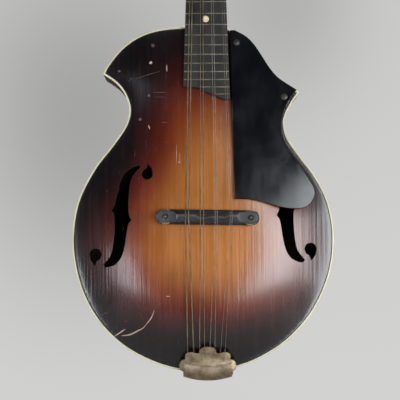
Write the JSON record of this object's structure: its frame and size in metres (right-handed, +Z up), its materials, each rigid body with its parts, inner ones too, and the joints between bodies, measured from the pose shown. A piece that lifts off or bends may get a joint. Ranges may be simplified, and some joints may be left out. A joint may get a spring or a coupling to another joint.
{
  "type": "mandolin",
  "caption": "Carved f-hole mandolin with two body points, sunburst top, raised pickguard, adjustable bridge, sliding tailpiece cover and geared tuners, hanging upright.",
  "frame": {"origin": "back of the neck level with the nut, where a wall hanger holds the instrument", "axes": "+Z up along the neck towards the headstock, -Y the front with the strings, +X the treble side"},
  "size_m": [0.2409, 0.0945, 0.6345],
  "materials": {
    "spruce_top": "glossy aged sunburst lacquer over straight vertical grain",
    "maple_back": "glossy dark sunburst lacquer over maple",
    "stained_maple": "glossy dark brown lacquer over maple",
    "plain_spruce": "bare wood",
    "cream_binding": "aged cream plastic, polished",
    "dark_hardwood": "dusty ebonised hardwood, satin",
    "bone": "polished bone",
    "black_plastic": "glossy black with fine scratches",
    "steel": "dull steel",
    "aged_nickel": "aged nickel plating, slightly tarnished",
    "pearloid": "cream pearloid",
    "bronze_string": "wound bronze",
    "steel_string": "plain steel wire"
  },
  "bodies": {
    "instrument": {"top_plate": "spruce_top", "back_plate": "maple_back", "top_binding": "cream_binding", "back_binding": "cream_binding", "rib_upper_bass": "stained_maple", "rib_upper_treble": "stained_maple", "rib_lower_treble": "stained_maple", "rib_lower_bass": "stained_maple", "neck_block": "plain_spruce", "tail_block": "plain_spruce", "horn_block_bass": "plain_spruce", "horn_block_treble": "plain_spruce", "tone_bar_bass": "plain_spruce", "tone_bar_treble": "plain_spruce", "neck": "stained_maple", "truss_rod": "steel", "heel_cap": "dark_hardwood", "fingerboard": "dark_hardwood", "nut": "bone", "headstock_veneer": "black_plastic", "truss_rod_cover": "black_plastic", "tuner_plate_bass": "aged_nickel", "tuner_plate_treble": "aged_nickel", "string_g1": "bronze_string", "string_g2": "bronze_string", "string_d1": "bronze_string", "string_d2": "bronze_string", "string_a1": "steel_string", "string_a2": "steel_string", "string_e1": "steel_string", "string_e2": "steel_string", "bridge_base": "dark_hardwood", "bridge_post_bass": "steel", "bridge_post_treble": "steel", "tailpiece_base": "aged_nickel", "end_pin": "dark_hardwood", "pickguard": "black_plastic", "pickguard_screw_upper": "steel", "pickguard_screw_horn": "steel", "pickguard_block": "dark_hardwood"},
    "bridge_saddle_body": {"bridge_saddle": "dark_hardwood"},
    "wheel_bass": {"thumbwheel_bass": "aged_nickel"},
    "wheel_treble": {"thumbwheel_treble": "aged_nickel"},
    "cover": {"tailpiece_cover": "aged_nickel"},
    "key_bass_1": {"tuner_key_bass_1": "pearloid"},
    "post_bass_1": {"string_post_bass_1": "aged_nickel"},
    "key_bass_2": {"tuner_key_bass_2": "pearloid"},
    "post_bass_2": {"string_post_bass_2": "aged_nickel"},
    "key_bass_3": {"tuner_key_bass_3": "pearloid"},
    "post_bass_3": {"string_post_bass_3": "aged_nickel"},
    "key_bass_4": {"tuner_key_bass_4": "pearloid"},
    "post_bass_4": {"string_post_bass_4": "aged_nickel"},
    "key_treble_1": {"tuner_key_treble_1": "pearloid"},
    "post_treble_1": {"string_post_treble_1": "aged_nickel"},
    "key_treble_2": {"tuner_key_treble_2": "pearloid"},
    "post_treble_2": {"string_post_treble_2": "aged_nickel"},
    "key_treble_3": {"tuner_key_treble_3": "pearloid"},
    "post_treble_3": {"string_post_treble_3": "aged_nickel"},
    "key_treble_4": {"tuner_key_treble_4": "pearloid"},
    "post_treble_4": {"string_post_treble_4": "aged_nickel"}
  },
  "joints": [
    {"name": "bridge_saddle_lift", "type": "slide", "parent": "instrument", "child": "bridge_saddle_body", "axis": [0, -1, 0], "range_m": [-0.0015, 0], "deforming": ["string_g1", "string_g2", "string_d1", "string_d2", "string_a1", "string_a2", "string_e1", "string_e2"]},
    {"name": "thumbwheel_bass_turn", "type": "hinge", "parent": "bridge_saddle_body", "child": "wheel_bass", "pos_m": [-0.03799, -0.0474, -0.35223], "axis": [0, -1, 0], "range_deg": [-681, 0]},
    {"name": "thumbwheel_treble_turn", "type": "hinge", "parent": "bridge_saddle_body", "child": "wheel_treble", "pos_m": [0.03899, -0.0474, -0.35357], "axis": [0, -1, 0], "range_deg": [-681, 0]},
    {"name": "tuner_key_bass_1_turn", "type": "hinge", "parent": "instrument", "child": "key_bass_1", "pos_m": [-0.024, 0.00838, 0.01716], "axis": [1, 0, 0], "continuous": true},
    {"name": "string_post_bass_1_turn", "type": "hinge", "parent": "instrument", "child": "post_bass_1", "pos_m": [-0.0185, -0.0077, 0.03143], "axis": [0, 0.9511, -0.309], "continuous": true},
    {"name": "tuner_key_bass_2_turn", "type": "hinge", "parent": "instrument", "child": "key_bass_2", "pos_m": [-0.024, 0.01549, 0.03904], "axis": [1, 0, 0], "continuous": true},
    {"name": "string_post_bass_2_turn", "type": "hinge", "parent": "instrument", "child": "post_bass_2", "pos_m": [-0.0185, -0.00059, 0.05331], "axis": [0, 0.9511, -0.309], "continuous": true},
    {"name": "tuner_key_bass_3_turn", "type": "hinge", "parent": "instrument", "child": "key_bass_3", "pos_m": [-0.024, 0.0226, 0.06091], "axis": [1, 0, 0], "continuous": true},
    {"name": "string_post_bass_3_turn", "type": "hinge", "parent": "instrument", "child": "post_bass_3", "pos_m": [-0.0185, 0.00652, 0.07518], "axis": [0, 0.9511, -0.309], "continuous": true},
    {"name": "tuner_key_bass_4_turn", "type": "hinge", "parent": "instrument", "child": "key_bass_4", "pos_m": [-0.024, 0.02971, 0.08279], "axis": [1, 0, 0], "continuous": true},
    {"name": "string_post_bass_4_turn", "type": "hinge", "parent": "instrument", "child": "post_bass_4", "pos_m": [-0.0185, 0.01363, 0.09705], "axis": [0, 0.9511, -0.309], "continuous": true},
    {"name": "tuner_key_treble_1_turn", "type": "hinge", "parent": "instrument", "child": "key_treble_1", "pos_m": [0.024, 0.00838, 0.01716], "axis": [1, 0, 0], "continuous": true},
    {"name": "string_post_treble_1_turn", "type": "hinge", "parent": "instrument", "child": "post_treble_1", "pos_m": [0.0185, -0.0077, 0.03143], "axis": [0, 0.9511, -0.309], "continuous": true},
    {"name": "tuner_key_treble_2_turn", "type": "hinge", "parent": "instrument", "child": "key_treble_2", "pos_m": [0.024, 0.01549, 0.03904], "axis": [1, 0, 0], "continuous": true},
    {"name": "string_post_treble_2_turn", "type": "hinge", "parent": "instrument", "child": "post_treble_2", "pos_m": [0.0185, -0.00059, 0.05331], "axis": [0, 0.9511, -0.309], "continuous": true},
    {"name": "tuner_key_treble_3_turn", "type": "hinge", "parent": "instrument", "child": "key_treble_3", "pos_m": [0.024, 0.0226, 0.06091], "axis": [1, 0, 0], "continuous": true},
    {"name": "string_post_treble_3_turn", "type": "hinge", "parent": "instrument", "child": "post_treble_3", "pos_m": [0.0185, 0.00652, 0.07518], "axis": [0, 0.9511, -0.309], "continuous": true},
    {"name": "tuner_key_treble_4_turn", "type": "hinge", "parent": "instrument", "child": "key_treble_4", "pos_m": [0.024, 0.02971, 0.08279], "axis": [1, 0, 0], "continuous": true},
    {"name": "string_post_treble_4_turn", "type": "hinge", "parent": "instrument", "child": "post_treble_4", "pos_m": [0.0185, 0.01363, 0.09705], "axis": [0, 0.9511, -0.309], "continuous": true},
    {"name": "tailpiece_cover_slide", "type": "slide", "parent": "instrument", "child": "cover", "axis": [0, 0, -1], "range_m": [0, 0.045]}
  ],
  "couplings": [
    {"joint": "thumbwheel_bass_turn", "follows": "bridge_saddle_lift", "rad_per_m": 7913.3},
    {"joint": "thumbwheel_treble_turn", "follows": "bridge_saddle_lift", "rad_per_m": 7913.3},
    {"joint": "string_post_bass_1_turn", "follows": "tuner_key_bass_1_turn", "ratio": 0.07143},
    {"joint": "string_post_bass_2_turn", "follows": "tuner_key_bass_2_turn", "ratio": 0.07143},
    {"joint": "string_post_bass_3_turn", "follows": "tuner_key_bass_3_turn", "ratio": 0.07143},
    {"joint": "string_post_bass_4_turn", "follows": "tuner_key_bass_4_turn", "ratio": 0.07143},
    {"joint": "string_post_treble_1_turn", "follows": "tuner_key_treble_1_turn", "ratio": 0.07143},
    {"joint": "string_post_treble_2_turn", "follows": "tuner_key_treble_2_turn", "ratio": 0.07143},
    {"joint": "string_post_treble_3_turn", "follows": "tuner_key_treble_3_turn", "ratio": 0.07143},
    {"joint": "string_post_treble_4_turn", "follows": "tuner_key_treble_4_turn", "ratio": 0.07143}
  ]
}
